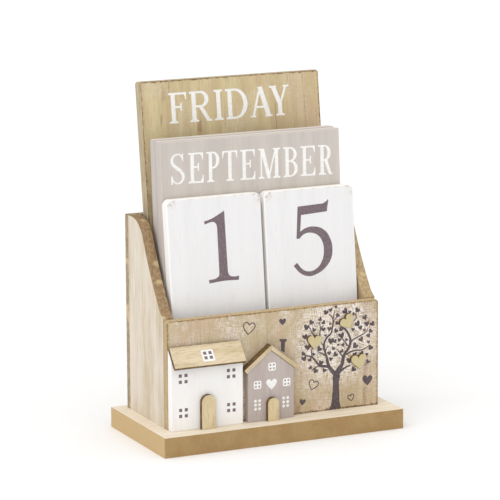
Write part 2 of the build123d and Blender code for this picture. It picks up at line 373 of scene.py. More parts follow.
# %% [markdown]
# ## Straw-coloured wood print
# The weekday board and the front panel have the same printed wood: straw-coloured with a blush of
# pink, thin brown streaks, and short dark pores. A fine crossing of pale threads lies over it, as
# if it was printed on linen, strongest behind the crown of the tree. One edge is chipped dark. Each
# of these is a mask that mixes one more colour over the last, as a printer lays one ink on another.

# %% straw print
# the middle of the tree's crown on the panel, and how far from it its patch fades out and is full
CROWN = (0.034, 0.036, 0.0)
CROWN_REACH = (0.031, 0.015)


def threads(tree, spot, scale):
    """Fine crossing lines, as of linen: high on a thread, low between threads."""
    upright_lines = noise(tree, stretch(tree, spot, (1.0, 0.12, 1.0)), scale, 2.0)
    level_lines = noise(tree, stretch(tree, spot, (0.10, 1.0, 1.0)), scale, 2.0)
    return calc(tree, "MAXIMUM", upright_lines, level_lines)


def straw_print(name, face, tones, scrub, crown, chips, edge_tones):
    """tones are deep and pale; scrub is the strength of the threads, and crown adds the tree's patch
    of them; chips are the edge that is chipped, and how much of it stays whole."""
    material, tree, shader = new_material(name, 0.72)
    spot = on_face(tree, face)
    grain = use_group(tree, grain_group, {"Vector": spot, "Fineness": 1300.0, "Draw": 0.05})
    wear = use_group(tree, wear_group, {"Vector": spot, "Half width": face.half_width,
                                        "Length": face.length, "Reach": 0.0015})
    colour = mix(tree, soften(tree, grain["Bands"], 0.34, 0.66), tones[0], tones[1])
    blush = noise(tree, stretch(tree, spot, (1.0, 0.5, 1.0)), 65.0, 2.0)
    colour = mix(tree, soften(tree, blush, 0.46, 0.66, 0.0, 0.5), colour, "#CFAF94")
    colour = mix(tree, soften(tree, grain["Lines"], 0.46, 0.7, 0.0, 0.35), colour, "#AF9670")
    colour = mix(tree, soften(tree, grain["Pores"], 0.56, 0.76, 0.0, 0.4), colour, "#937C5A")
    # long thin streaks: where a slow noise crosses its middle value
    streak = noise(tree, stretch(tree, spot, (1.0, 0.03, 1.0)), 80.0, 1.0)
    off_line = calc(tree, "ABSOLUTE", calc(tree, "SUBTRACT", streak, 0.5))
    broken = soften(tree, noise(tree, spot, 110.0), 0.42, 0.62, 0.05, 0.7)
    colour = mix(tree, calc(tree, "MULTIPLY", soften(tree, off_line, 0.014, 0.0), broken), colour, "#9A7552")
    # pale threads in soft patches
    patch = soften(tree, noise(tree, spot, 55.0, 3.0, 0.6), 0.42, 0.68, 0.12, 0.7)
    if crown:
        from_crown = add(tree, "ShaderNodeVectorMath", {0: spot, 1: CROWN}, operation="DISTANCE")
        patch = calc(tree, "MAXIMUM", patch, soften(tree, from_crown.outputs["Value"], *CROWN_REACH))
    thread = soften(tree, threads(tree, spot, 2600.0), 0.46, 0.61)
    linen = calc(tree, "MULTIPLY", calc(tree, "MULTIPLY", thread, patch), scrub)
    colour = mix(tree, linen, colour, "#F8F0EA")
    # the outline is rubbed, and one edge is chipped dark
    chip_side, whole = chips
    chip = soften(tree, noise(tree, spot, 800.0, 2.0), whole, whole + 0.06)
    colour = mix(tree, calc(tree, "MULTIPLY", wear["Rim"], 0.7), colour, "#A98B62")
    colour = mix(tree, calc(tree, "MULTIPLY", wear["Outline"], 0.45), colour, "#A58655")
    rim_chip = calc(tree, "MULTIPLY", calc(tree, "MULTIPLY", wear["Outline"], chip), 0.7)
    colour = mix(tree, rim_chip, colour, "#86693F")
    colour = mix(tree, calc(tree, "MULTIPLY", wear[chip_side], chip), colour, "#755F45")
    # the cut edges show plain board
    flat = calc(tree, "MAXIMUM", facing(tree, face.out), facing(tree, -face.out))
    edge = mix(tree, soften(tree, grain["Lines"], 0.4, 0.62), edge_tones[0], edge_tones[1])
    colour = mix(tree, flat, edge, colour)
    finish_shader(tree, shader, colour, grain["Lines"], 0.00012)
    return material


finish["front_panel"] = straw_print("front_print", faces["front_panel"], ("#BBA680", "#C9B793"), 1.0, True,
                                    ("Bottom", 0.45), ("#B39B74", "#C9B48E"))
finish["day_board"] = straw_print("day_print", faces["day_board"], ("#CBB78C", "#D9C99D"), 0.3, False,
                                  ("Top", 0.43), ("#AB9A7C", "#C3B597"))
print("printed wood:", [material.name for material in finish.values()])

# %% [markdown]
# ## Cream panels
# The tray's sides are washed cream, thin enough for the upright grain to streak it both paler and
# browner. The wash is on the outer faces only, so the cut edges and inner faces are plain brown
# board. The cut edges have a few pale knots. Washed and bare wood could be two materials, but one
# that asks which way the surface looks also blends them over the rounded edge.

# %% cream wash


def cream_wash(name, face, edge_tones):
    """edge_tones are the deep and the pale tone of the cut edges and of the bare inner face."""
    material, tree, shader = new_material(name, 0.78, 0.25)
    spot = on_face(tree, face)
    grain = use_group(tree, grain_group, {"Vector": spot, "Fineness": 1000.0, "Draw": 0.07})
    colour = mix(tree, soften(tree, grain["Bands"], 0.35, 0.62), "#CDBEA4", "#E0D6C6")
    colour = mix(tree, soften(tree, grain["Lines"], 0.45, 0.68, 0.0, 0.4), colour, "#B7A184")
    pale = noise(tree, stretch(tree, spot, (1.0, 0.08, 1.0)), 700.0, 3.0, 0.6)
    colour = mix(tree, soften(tree, pale, 0.5, 0.7, 0.0, 0.5), colour, "#ECE5DB")
    bloom = noise(tree, stretch(tree, spot, (1.0, 0.4, 1.0)), 60.0, 3.0, 0.6)
    colour = mix(tree, soften(tree, bloom, 0.44, 0.62, 0.0, 0.6), colour, "#E3D6C9")
    fibre = noise(tree, stretch(tree, spot, (1.0, 0.4, 1.0)), 900.0, 3.0, 0.6)
    edge = mix(tree, soften(tree, fibre, 0.35, 0.65), edge_tones[0], edge_tones[1])
    bare = mix(tree, soften(tree, grain["Lines"], 0.4, 0.7), edge_tones[1], edge_tones[0])
    knots = noise(tree, spot, 130.0, 1.0)
    edge = mix(tree, soften(tree, knots, 0.6, 0.68, 0.0, 0.8), edge, "#D3BB90")
    edge = mix(tree, facing(tree, -face.out), edge, bare)
    colour = mix(tree, facing(tree, face.out), edge, colour)
    finish_shader(tree, shader, colour, grain["Lines"], 0.00012)
    return material


for node, name, toward, edge_tones in (("left_side_panel", "cream_left", (-1, 0, 0), ("#8F7452", "#AB9170")),
                                       ("right_side_panel", "cream_right", (1, 0, 0), ("#A98F6A", "#C4AE89")),
                                       ("back_panel", "cream_back", BACK, ("#93836A", "#B3A286"))):
    finish[node] = cream_wash(name, Face(node, toward), edge_tones)
    print(node, "has", len(finish[node].node_tree.nodes), "shader nodes")

# %% [markdown]
# ## Fibreboard plinth
# The plinth is fibreboard: fine, even and speckled brown at its sawn edges. Its left end is painted
# paler, as painted light from the soft light on the left. The top has a cream wash, which stops
# where the eased edge turns down. Fibreboard has no grain, so its speckle is plain fine noise and
# only the brushed wash has lines.

# %% plinth


def fibreboard():
    """The plinth's board, washed on top."""
    material, tree, shader = new_material("plinth_board", 0.85, 0.2)
    spot = add(tree, "ShaderNodeTexCoord").outputs["Object"]
    speck = noise(tree, stretch(tree, spot, (1.0, 1.0, 0.4)), 2200.0, 3.0, 0.7)
    cloud = noise(tree, spot, 160.0, 3.0)
    edge = mix(tree, soften(tree, cloud, 0.35, 0.65), "#A9895D", "#AF9265")
    edge = mix(tree, soften(tree, speck, 0.5, 0.7, 0.0, 0.5), edge, "#92754D")
    top = facing(tree, (0, 0, 1))
    end = facing(tree, (-1, 0, 0))
    # painted light: the left end, which faces the light from the left, is mixed paler
    edge = mix(tree, calc(tree, "MULTIPLY", end, 0.8), edge, "#D0B588")
    wash_lines = noise(tree, stretch(tree, spot, (0.05, 1.0, 1.0)), 900.0, 3.0)
    wash = mix(tree, soften(tree, wash_lines, 0.4, 0.66), "#F2E6D3", "#E6D8BF")
    colour = mix(tree, top, edge, wash)
    finish_shader(tree, shader, colour, speck, 0.00008)
    return material


finish["base_plate"] = fibreboard()
print("plinth:", finish["base_plate"].name)

# %% [markdown]
# ## Flat paint
# The number tiles and the white house are painted white, the month boards grey-pink, and the small
# house taupe. It is chalk paint brushed over wood. A plain colour would look like plastic, so the
# grain shows through as fine upright streaks and a faint relief. A painted highlight makes a
# board's broken edge a lighter line, and painted shade darkens its sides towards the back, where
# it stands in the gap before the next board. A tile's top corners are rubbed to the wood.

# %% flat paint
# how far behind its front face the painted shade on a board's sides starts, and is full, in metres
FAR_EDGE_SHADE = (-0.0044, -0.0054)


def chalk_paint(name, face, light, dark, streak_tone, grained, sides=None, rim=None, rubbed=None):
    """light, dark and streak_tone are the tones of the grain, and grained is the strength of its
    streaks; sides are the tones of the edges, of their upper face, and of the painted shade along the
    line where they meet the back, in the gap between boards; rim is the tone and strength of a painted
    highlight along the broken edge; rubbed is that of worn corners."""
    material, tree, shader = new_material(name, 0.62, 0.3)
    spot = on_face(tree, face)
    grain = use_group(tree, grain_group, {"Vector": spot, "Fineness": 1100.0, "Draw": 0.08})
    wear = use_group(tree, wear_group, {"Vector": spot, "Half width": face.half_width,
                                        "Length": face.length, "Reach": 0.0014})
    colour = mix(tree, soften(tree, grain["Bands"], 0.36, 0.64), light, dark)
    colour = mix(tree, soften(tree, grain["Lines"], 0.5, 0.72, 0.0, grained), colour, streak_tone)
    colour = mix(tree, soften(tree, grain["Pores"], 0.6, 0.78, 0.0, grained), colour, streak_tone)
    if rim:
        # painted highlight: a lighter line along the broken edge, where its round would catch the light
        colour = mix(tree, calc(tree, "MULTIPLY", wear["Rim"], rim[1]), colour, rim[0])
    if sides:
        flat = calc(tree, "MAXIMUM", facing(tree, face.out), facing(tree, -face.out))
        depth = add(tree, "ShaderNodeSeparateXYZ", {"Vector": spot}).outputs["Z"]
        side = mix(tree, facing(tree, (0, 0, 1)), sides[0], sides[1])
        # painted shade: the sides darken towards the back, where the board stands in the gap before the next
        side = mix(tree, soften(tree, depth, *FAR_EDGE_SHADE, 0.0, 0.8), side, sides[2])
        colour = mix(tree, flat, side, colour)
    if rubbed:
        crumbs = soften(tree, noise(tree, spot, 300.0, 3.0, 0.7), 0.45, 0.62)
        corner = calc(tree, "MULTIPLY", wear["Corner"], crumbs)
        along_top = calc(tree, "MULTIPLY", calc(tree, "MULTIPLY", wear["Top"], crumbs), 0.45)
        worn = calc(tree, "MULTIPLY", calc(tree, "MAXIMUM", corner, along_top), rubbed[1])
        colour = mix(tree, calc(tree, "MULTIPLY", worn, facing(tree, face.out)), colour, rubbed[0])
    finish_shader(tree, shader, colour, grain["Lines"], 0.0001)
    return material


finish["white_house_body"] = chalk_paint("white_house_paint", faces["white_house_body"],
                                         "#FBFAF8", "#F9F6F4", "#EEEAE6", 0.3)
finish["taupe_house_body"] = chalk_paint("taupe_paint", faces["taupe_house_body"],
                                         "#C3B7B1", "#BCAFA9", "#A99B93", 0.4)
# the last side tone is painted shade in the gap behind a board, and the rim tone a painted highlight
for node in ("month_board_front", "month_board_rear"):
    finish[node] = chalk_paint(node + "_paint", faces[node], "#D2CAC2", "#CAC2BA", "#BEB5AC", 0.4,
                               ("#C6BDB6", "#E0D8D0", "#AAA098"), ("#E0D8CE", 0.7))
for node in ("number_tile_left", "number_tile_right"):
    finish[node] = chalk_paint(node + "_paint", faces[node], "#F2F1F1", "#EFEEEE", "#E0DCDC", 0.3,
                               ("#F8F6F4", "#FBF6EC", "#E3DDD5"), ("#FCF8F1", 0.6), ("#C6B189", 0.85))
print("painted pieces:", [node for node in finish if finish[node].name.endswith("_paint")])

# %% [markdown]
# ## Bare plywood with burnt edges
# The doors, the roof pieces and the three wooden hearts are thin plywood cut by laser, so their
# faces are pale and clean and their cut edges are scorched dark brown. The scorch could be traced
# round each outline. It is simpler to burn everything that doesn't face outwards.

# %% burnt plywood


def burnt_ply(name, face, turn, light, dark):
    """The grain is turned by turn, in radians, from straight up the piece."""
    material, tree, shader = new_material(name, 0.7, 0.25)
    spot = on_face(tree, face)
    turned = add(tree, "ShaderNodeMapping", {"Vector": spot, "Rotation": (0, 0, turn)}).outputs["Vector"]
    grain = use_group(tree, grain_group, {"Vector": turned, "Fineness": 1500.0, "Draw": 0.12})
    colour = mix(tree, soften(tree, grain["Bands"], 0.36, 0.64), light, dark)
    colour = mix(tree, soften(tree, grain["Lines"], 0.48, 0.66, 0.0, 0.6), colour, "#B9A17A")
    scorch = noise(tree, spot, 500.0, 2.0)
    burnt = mix(tree, soften(tree, scorch, 0.35, 0.65), "#5E4930", "#7D6443")
    colour = mix(tree, facing(tree, face.out), burnt, colour)
    finish_shader(tree, shader, colour, grain["Lines"], 0.0001)
    return material


# each piece's plywood, the turn of its grain, and its pale and deep tones
PLYWOOD = {
    "white_house_roof": ("roof_ply", 1.5, "#E3D2B3", "#D3C09B"),
    "white_house_door": ("door_ply", 0.0, "#E0CEA8", "#D0BC92"),
    "taupe_roof_left": ("strip_left_ply", 0.9, "#DDCDAD", "#CBB78F"),
    "taupe_roof_right": ("strip_right_ply", -0.9, "#DDCDAD", "#CBB78F"),
    "taupe_house_door": ("small_door_ply", 0.0, "#DCCAA1", "#CCB78C")}
for node in ("heart_left", "heart_top", "heart_right"):
    PLYWOOD[node] = (node + "_ply", 0.4, "#D3C498", "#C6B586")
for node, (name, turn, light, dark) in PLYWOOD.items():
    finish[node] = burnt_ply(name, faces[node], turn, light, dark)
print("plywood pieces:", list(PLYWOOD))

# %% [markdown]
# ## Ink and steel
# Lettering is screen printed: flat, a touch glossier than the paint, and slightly starved, so it is
# mottled and never quite even. The hidden pins and screws are plain drawn steel. There are few
# inks, and each is made once and shared by everything printed in it.

# %% ink and steel


def ink(name, full, starved):
    """full and starved are the ink's tones where it lies thick and thin."""
    material, tree, shader = new_material(name, 0.5, 0.35)
    spot = add(tree, "ShaderNodeTexCoord").outputs["Object"]
    mottle = noise(tree, spot, 900.0, 4.0, 0.7)
    colour = mix(tree, soften(tree, mottle, 0.4, 0.72), full, starved)
    finish_shader(tree, shader, colour, mottle, 0.00003)
    return material


def drawn_steel():
    """Steel wire, with fine lines along it."""
    material, tree, shader = new_material("drawn_steel", 0.35, 0.5)
    shader.inputs["Metallic"].default_value = 1.0
    spot = add(tree, "ShaderNodeTexCoord").outputs["Object"]
    lines = noise(tree, stretch(tree, spot, (1.0, 0.1, 0.1)), 3000.0, 3.0)
    finish_shader(tree, shader, mix(tree, lines, "#A8A6A2", "#C9C7C3"), lines, 0.00002)
    return material


white_ink = ink("white_ink", "#FBFAF7", "#EDEBE6")
plum_ink = ink("plum_ink", "#74656B", "#8A7C81")
tree_ink = ink("tree_ink", "#564A4E", "#6B5F63")
soft_ink = ink("soft_ink", "#8B7C72", "#A39483")
taupe_ink = ink("taupe_ink", "#A3969A", "#B3A6A6")
finish["base_screws"] = drawn_steel()
finish["back_pins"] = finish["base_screws"]
print("pieces with a finish:", len(finish), "of", len(nodes))

# %% [markdown]
# ## Breaking the edges
# A sawn board never has a knife edge. Sandpaper leaves a narrow round on it, and that round is
# what catches the light. The plinth, the front panel and the loose boards have a round or a bevel
# in the frame already, so they are only painted. Each other wooden piece is copied, its loose
# triangles are joined, and its outline is bevelled by a fraction of a millimetre. A modifier could
# do that too, but the operator can be told which edges to leave, such as those of the screw holes.

# %% soft-edged copies
PANEL_EDGE = 0.3 * MM
BLOCK_EDGE = 0.35 * MM
PLYWOOD_EDGE = 0.12 * MM
SHARP = math.radians(35)
# the least cosine for a face that looks straight along an axis
STRAIGHT = 0.99
# the least area of a broad face, in square metres, and the least length of a rim's edge, in metres
BROAD = 0.001
LONG = 0.004


def broken_edges(node, radius, keep=None, segments=2):
    """A copy of a CAD node with its sharp edges rounded, standing in for it. Where keep is given,
    only the edges that it passes are rounded."""
    bm = bmesh.new()
    bm.from_mesh(nodes[node].data)
    bm.transform(nodes[node].matrix_world)
    bmesh.ops.remove_doubles(bm, verts=bm.verts, dist=1e-6)
    bmesh.ops.dissolve_limit(bm, angle_limit=math.radians(1.0), verts=bm.verts, edges=bm.edges)
    sharp = [e for e in bm.edges if e.is_manifold and e.calc_face_angle(0) > SHARP
             and (keep is None or keep(e))]
    bmesh.ops.bevel(bm, geom=sharp, offset=radius, offset_type="OFFSET", segments=segments, profile=0.5,
                    affect="EDGES", clamp_overlap=True, material=-1)
    bmesh.ops.triangulate(bm, faces=[f for f in bm.faces if len(f.verts) > 4])
    mesh = bpy.data.meshes.new(node + "_wood")
    bm.to_mesh(mesh)
    bm.free()
    piece = bpy.data.objects.new(node + "_wood", mesh)
    bpy.context.scene.collection.objects.link(piece)
    piece.data.materials.append(finish[node])
    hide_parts(node)
    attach(piece, BODY_OF[node])


def outer_edge(edge):
    """True for an edge of a side panel's two broad faces, which leaves out the screw holes."""
    return any(abs(f.normal.x) > STRAIGHT for f in edge.link_faces)


def rim_edge(edge):
    """True for a long edge of a broad front or back face, which leaves out the pin holes."""
    broad = any(abs(f.normal.y) > STRAIGHT and f.calc_area() > BROAD for f in edge.link_faces)
    return broad and edge.calc_length() > LONG


for node in ("left_side_panel", "right_side_panel"):
    broken_edges(node, PANEL_EDGE, outer_edge)
broken_edges("back_panel", PANEL_EDGE, rim_edge)
broken_edges("white_house_body", BLOCK_EDGE, segments=3)
for node in ("white_house_roof", "white_house_door"):
    broken_edges(node, PLYWOOD_EDGE)
broken_edges("taupe_house_body", BLOCK_EDGE, segments=3)
for node in ("taupe_roof_left", "taupe_roof_right", "taupe_house_door",
             "heart_left", "heart_top", "heart_right"):
    broken_edges(node, PLYWOOD_EDGE)
soft_edged = [piece.name for piece in bpy.data.objects if piece.name.endswith("_wood")]
print("wooden pieces with broken edges:", len(soft_edged))

# %% [markdown]
# ## Pieces used as they are
# A piece whose shape needs nothing more stays the frame's own object. Only its material changes,
# because its mesh belongs to the CAD. The hidden pins and screws are among them.

# %% pieces used as they are
for node in nodes:
    if node + "_wood" not in soft_edged:
        nodes[node].data.materials.clear()
        nodes[node].data.materials.append(finish[node])
        for slot in nodes[node].material_slots:
            slot.material = finish[node]
        print(node, "is finished in", finish[node].name)

# %% [markdown]
# ## Printing
# Everything printed is a thin film of ink. A shape is drawn flat in millimetres as a filled curve,
# or as a pen stroke that gets wider and narrower, which is a round line pressed flat. It is given
# a hair's thickness and laid on the face it belongs to. It could be a mask in the paint instead,
# but a film stays sharp from near by. Each shape in turn is a little thicker than the last, so that
# where two neighbours overlap they don't share a plane.

# %% flat shapes
# in millimetres: the least thickness of ink, what each shape adds to it, and how deep it is bedded
INK = 0.05
STEP = 0.003
LAYERS = 9
BED = 0.01
# a second ink over a first one is raised by this much
OVER_INK = 0.03
# a pen's round line is made this many times higher and then cut level, so it ends up flat
FLATTEN = 4


def mesh_of(curve):
    """The mesh of a curve, as a bmesh. The curve itself is thrown away."""
    holder = bpy.data.objects.new("drawing", curve)
    mesh = bpy.data.meshes.new_from_object(holder)
    bm = bmesh.new()
    bm.from_mesh(mesh)
    bpy.data.objects.remove(holder)
    bpy.data.meshes.remove(mesh)
    return bm


def plate(points):
    """A filled outline. A point is (x, y), or (x, y, 1) where the outline is round."""
    curve = bpy.data.curves.new("plate", "CURVE")
    curve.dimensions = "2D"
    curve.fill_mode = "FRONT"
    curve.resolution_u = 6
    spline = curve.splines.new("BEZIER")
    spline.bezier_points.add(len(points) - 1)
    for made, point in zip(spline.bezier_points, points):
        made.co = (point[0], point[1], 0)
        kind = "AUTO" if len(point) > 2 else "VECTOR"
        made.handle_left_type = kind
        made.handle_right_type = kind
    spline.use_cyclic_u = True
    return mesh_of(curve)


def pen(points):
    """A smooth pen stroke through (x, y, width) points: a round line pressed flat."""
    curve = bpy.data.curves.new("pen", "CURVE")
    curve.dimensions = "3D"
    curve.resolution_u = 8
    curve.bevel_depth = 0.5
    curve.bevel_resolution = 1
    curve.use_fill_caps = True
    spline = curve.splines.new("BEZIER")
    spline.bezier_points.add(len(points) - 1)
    for made, (x, y, width) in zip(spline.bezier_points, points):
        made.co = (x, y, 0)
        made.radius = width
        made.handle_left_type = "AUTO"
        made.handle_right_type = "AUTO"
    bm = mesh_of(curve)
    for vert in bm.verts:
        vert.co.z = max(-INK, min(INK, vert.co.z * FLATTEN))
    return bm


def lift(bm, thickness):
    """Gives a flat shape its thickness. A pen stroke already has one, and is only raised."""
    if max(v.co.z for v in bm.verts) > INK / 2:
        bmesh.ops.translate(bm, verts=bm.verts, vec=(0, 0, thickness - INK))
        return
    lifted = bmesh.ops.extrude_face_region(bm, geom=bm.faces[:], use_keep_orig=True)
    top = [v for v in lifted["geom"] if isinstance(v, bmesh.types.BMVert)]
    bmesh.ops.translate(bm, verts=top, vec=(0, 0, thickness))


def press(name, shapes, face, node, material, at=(0, 0), turn=0.0, clear=0.0):
    """Lays shapes, drawn in millimetres, on a face as one piece of ink, turned by turn degrees.
    Ink that lies on other ink is raised by clear."""
    whole = bmesh.new()
    for count, bm in enumerate(shapes):
        bmesh.ops.remove_doubles(bm, verts=bm.verts, dist=1e-5)
        lift(bm, INK + STEP * (count % LAYERS))
        bmesh.ops.recalc_face_normals(bm, faces=bm.faces)
        drawn = bpy.data.meshes.new("drawn")
        bm.to_mesh(drawn)
        bm.free()
        whole.from_mesh(drawn)
        bpy.data.meshes.remove(drawn)
    whole.transform(Matrix.Rotation(math.radians(turn), 4, "Z"))
    whole.transform(Matrix.Translation((at[0], at[1], clear - BED)))
    whole.transform(face.matrix @ Matrix.Scale(MM, 4))
    mesh = bpy.data.meshes.new(name)
    whole.to_mesh(mesh)
    whole.free()
    piece = bpy.data.objects.new(name, mesh)
    bpy.context.scene.collection.objects.link(piece)
    piece.data.materials.append(material)
    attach(piece, BODY_OF[node])
    print(name, "has", len(mesh.polygons), "faces")


print("ink is", INK, "to", round(INK + STEP * (LAYERS - 1), 3), "mm thick")

# %% [markdown]
# ## A serif alphabet
# The words are in upright serif capitals, with strong stems and thin hairlines. A letter is built
# as a signwriter builds it: stems with bracketed feet, hairline arms that end in beaks, round
# bowls that swell at the side. Words could be set in a typeface, but that is a file to load and
# somebody's design. Only the letters these words need are made.

# %% strokes of the alphabet
# a ring is one outline, round and back again, so it stops just short of a full turn
RING_END = 359.9


def bend(cx, cy, rx, ry, start, end, steps=8):
    """Points along part of an ellipse, angles in degrees."""
    turns = [math.radians(start + (end - start) * i / steps) for i in range(steps + 1)]
    return [(cx + rx * math.cos(a), cy + ry * math.sin(a)) for a in turns]


class Alphabet:
    """Capitals of one height. Widths, gap and strokes are shares of that height."""

    WIDTHS = {"A": 0.83, "B": 0.70, "C": 0.74, "D": 0.83, "E": 0.72, "F": 0.68, "H": 0.84, "I": 0.36,
              "M": 1.05, "N": 0.86, "O": 0.82, "P": 0.66, "R": 0.82, "S": 0.64, "T": 0.74, "U": 0.82,
              "Y": 0.74}
    # the months are set narrower, and some of their letters more than others
    NARROW = dict(WIDTHS, R=0.68, P=0.60, B=0.69, E=0.71, T=0.70, S=0.70)
    CLOSER = {"AY": 0.16, "YA": 0.1, "TA": 0.08}

    def __init__(self, cap, squeeze, narrow=False):
        self.cap = cap
        self.squeeze = squeeze
        self.widths = self.NARROW if narrow else self.WIDTHS
        self.gap = cap * squeeze * (0.14 if narrow else 0.09)
        self.thick = cap * (0.12 if narrow else 0.145)
        self.thin = cap * (0.056 if narrow else 0.07)
        self.slab = cap * (0.05 if narrow else 0.058)

    def stem(self, x, y0=0.0, y1=1.0, width=None, foot=True, head=True, reach=None):
        """An upright with bracketed serifs at its foot and head."""
        half = (width or self.thick) / 2
        low, high = y0 * self.cap, y1 * self.cap
        reach = reach or self.cap * 0.085 * (0.4 + 0.6 * self.squeeze)
        bracket = reach * 0.75
        right_side = []
        if foot:
            right_side += [(half + reach, low), (half + reach, low + self.slab)]
            right_side += bend(half + bracket, low + self.slab + bracket, bracket, bracket, 270, 180, 4)
        else:
            right_side += [(half, low)]
        if head:
            right_side += bend(half + bracket, high - self.slab - bracket, bracket, bracket, 180, 90, 4)
            right_side += [(half + reach, high - self.slab), (half + reach, high)]
        else:
            right_side += [(half, high)]
        left_side = [(-px, py) for px, py in reversed(right_side)]
        return plate([(x + px, py) for px, py in right_side + left_side])

    def arm(self, x0, x1, y, beak=0.0):
        """A hairline from x0 to x1 with its middle at y, and a beak at x1 that hangs or stands."""
        half = self.thin / 2
        y *= self.cap
        shapes = [plate([(x0, y - half), (x1, y - half), (x1, y + half), (x0, y + half)])]
        if beak:
            drop = beak * self.cap
            away = math.copysign(1, x1 - x0)
            side = math.copysign(1, drop)
            depth = min(abs(drop) * 1.05, abs(x1 - x0) * 0.55)
            tip = self.thin * 0.55
            curve = bend(x1 - away * depth, y - side * half + drop, depth - tip, abs(drop), -90 * side,
                         0 if away > 0 else -180 * side, 5)
            shapes.append(plate([(x1, y - side * half)] + curve + [(x1, y + drop)]))
        return shapes

    def bowl(self, x0, x1, y0, y1, swell=1.0):
        """A round stroke that leaves the stem at x0, swells at x1 and comes back."""
        low, high = y0 * self.cap, y1 * self.cap
        ry = (high - low) / 2
        rx = min((x1 - x0) * 0.72, ry * 1.05)
        cx, cy = x1 - rx, low + ry
        thick = self.thick * swell
        outer = [(x0, low)] + bend(cx, cy, rx, ry, -90, 90, 16) + [(x0, high)]
        inner = [(x0, high - self.thin)] + bend(cx, cy, rx - thick, ry - self.thin, 90, -90, 16)
        return plate(outer + inner + [(x0, low + self.thin)])

    def slant(self, x0, y0, x1, y1, width):
        """A straight slanting stroke, cut level at both ends, of this width across."""
        low, high = y0 * self.cap, y1 * self.cap
        half = width / 2
        return plate([(x0 - half, low), (x0 + half, low), (x1 + half, high), (x1 - half, high)])

    def serif(self, x, y, half):
        """A loose serif under or over a slanting stroke."""
        low = y * self.cap
        top = low + (self.slab if y < 0.5 else -self.slab)
        return plate([(x - half, low), (x + half, low), (x + half, top), (x - half, top)])

    def ring(self, width, start, end):
        """All or part of a round letter, thick at its sides."""
        rx, ry = width / 2, self.cap * 0.515
        cx, cy = rx, self.cap / 2
        outer = bend(cx, cy, rx, ry, start, end, 40)
        inner = bend(cx, cy, rx - self.thick, ry - self.thin, end, start, 40)
        return outer, inner

    def letter(self, name, w):
        """The shapes of one letter that is w wide."""
        cap, thick, thin = self.cap, self.thick, self.thin
        edge = thick / 2 + cap * 0.08
        top = 1 - thin / cap / 2
        foot = thin / cap / 2
        if name == "I":
            return [self.stem(w / 2)]
        if name in "FE":
            made = [self.stem(edge, head=False)] + self.arm(0.0, w * 0.97, top, -0.22)
            tongue = w * 0.7
            made += self.arm(edge, tongue, 0.53)
            made.append(plate([(tongue, cap * 0.66), (tongue, cap * 0.4), (tongue - thin * 0.6, cap * 0.4)]
                              + bend(tongue - cap * 0.13, cap * 0.53, cap * 0.1, cap * 0.1, -40, 40, 4)
                              + [(tongue - thin * 0.6, cap * 0.66)]))
            if name == "E":
                made += self.arm(0.0, w * 0.99, foot, 0.25)
            return made
        if name in "PRBD":
            made = [self.stem(edge, head=False)] + self.arm(0.0, edge, top)
            if name == "D":
                return made + [self.bowl(edge, w, 0, 1, 1.08)]
            if name == "P":
                return made + [self.bowl(edge, w, 0.44, 1)]
            if name == "B":
                upper = self.bowl(edge, w * 0.93, 0.5, 1, 0.9)
                return made + [upper, self.bowl(edge, w, 0, 0.5 + thin / cap)]
            leg = [(w * 0.4, cap * 0.5), (w * 0.4 + thick, cap * 0.52), (w * 0.88, cap * 0.1),
                   (w * 0.93, cap * 0.055), (w, cap * 0.045), (w, 0), (w * 0.88 - thick * 0.55, 0)]
            return made + [self.bowl(edge, w * 0.88, 0.47, 1), plate(leg)]
        if name == "A":
            left, peak, far = cap * 0.1, w * 0.48, w - cap * 0.12
            low_right = self.slant(far, 0, peak, 1.0, thick * 1.15)
            bar = self.arm(left + (peak - left) * 0.32, far - (far - peak) * 0.3, 0.33)
            return [low_right, self.slant(left, 0, peak, 0.98, thin * 1.1), self.serif(left, 0, cap * 0.1),
                    self.serif(far, 0, cap * 0.125)] + bar
        if name == "Y":
            left, far, fork = cap * 0.13, w - cap * 0.1, w * 0.52
            return [self.stem(fork, y1=0.46, head=False), self.slant(fork, 0.4, left, 1, thick * 1.15),
                    self.slant(fork + thick * 0.2, 0.42, far, 1, thin * 1.1), self.serif(left, 1, cap * 0.13),
                    self.serif(far, 1, cap * 0.1)]
        if name == "T":
            made = [self.stem(w / 2, head=False)] + self.arm(w / 2, w, top, -0.22)
            return made + self.arm(w / 2, 0.0, top, -0.22)
        if name in "HNU":
            left, far = edge, w - edge
            if name == "H":
                return [self.stem(left), self.stem(far)] + self.arm(left, far, 0.52)
            if name == "N":
                return [self.stem(left, width=thin), self.stem(far, width=thin, foot=False),
                        self.slant(far - thick * 0.2, 0, left - thick * 0.1, 1, thick * 1.2)]
            outer = bend((left + far) / 2, cap * 0.32, (far - left + thick) / 2, cap * 0.335, 180, 360, 20)
            inner = bend((left + far + thick / 2) / 2, cap * 0.32,
                         (far - left - thick) / 2, cap * 0.335 - thin, 360, 180, 20)
            return [self.stem(left, y0=0.3, foot=False), self.stem(far, y0=0.3, width=thin, foot=False),
                    plate(outer + inner)]
        if name == "M":
            left, far = cap * 0.11, w - cap * 0.08 - thick / 2
            mid = (left + far) / 2
            return [self.stem(left, width=thin, head=False, reach=cap * 0.08), self.stem(far),
                    self.serif(left - cap * 0.02, 1, cap * 0.09),
                    self.slant(mid, 0, left + thick * 0.3, 1, thick * 1.1),
                    self.slant(mid - thick * 0.1, 0, far - thick * 0.3, 1, thin)]
        if name == "O":
            outer, inner = self.ring(w, 0, RING_END)
            return [plate(outer + inner)]
        if name == "C":
            outer, inner = self.ring(w * 1.03, 42, 318)
            beak = [(w * 0.96, cap * 0.97), (w * 0.96, cap * 0.7), (w * 0.9, cap * 0.7),
                    (w * 0.8, cap * 0.93, 1)]
            return [plate(outer + inner), plate(beak)]
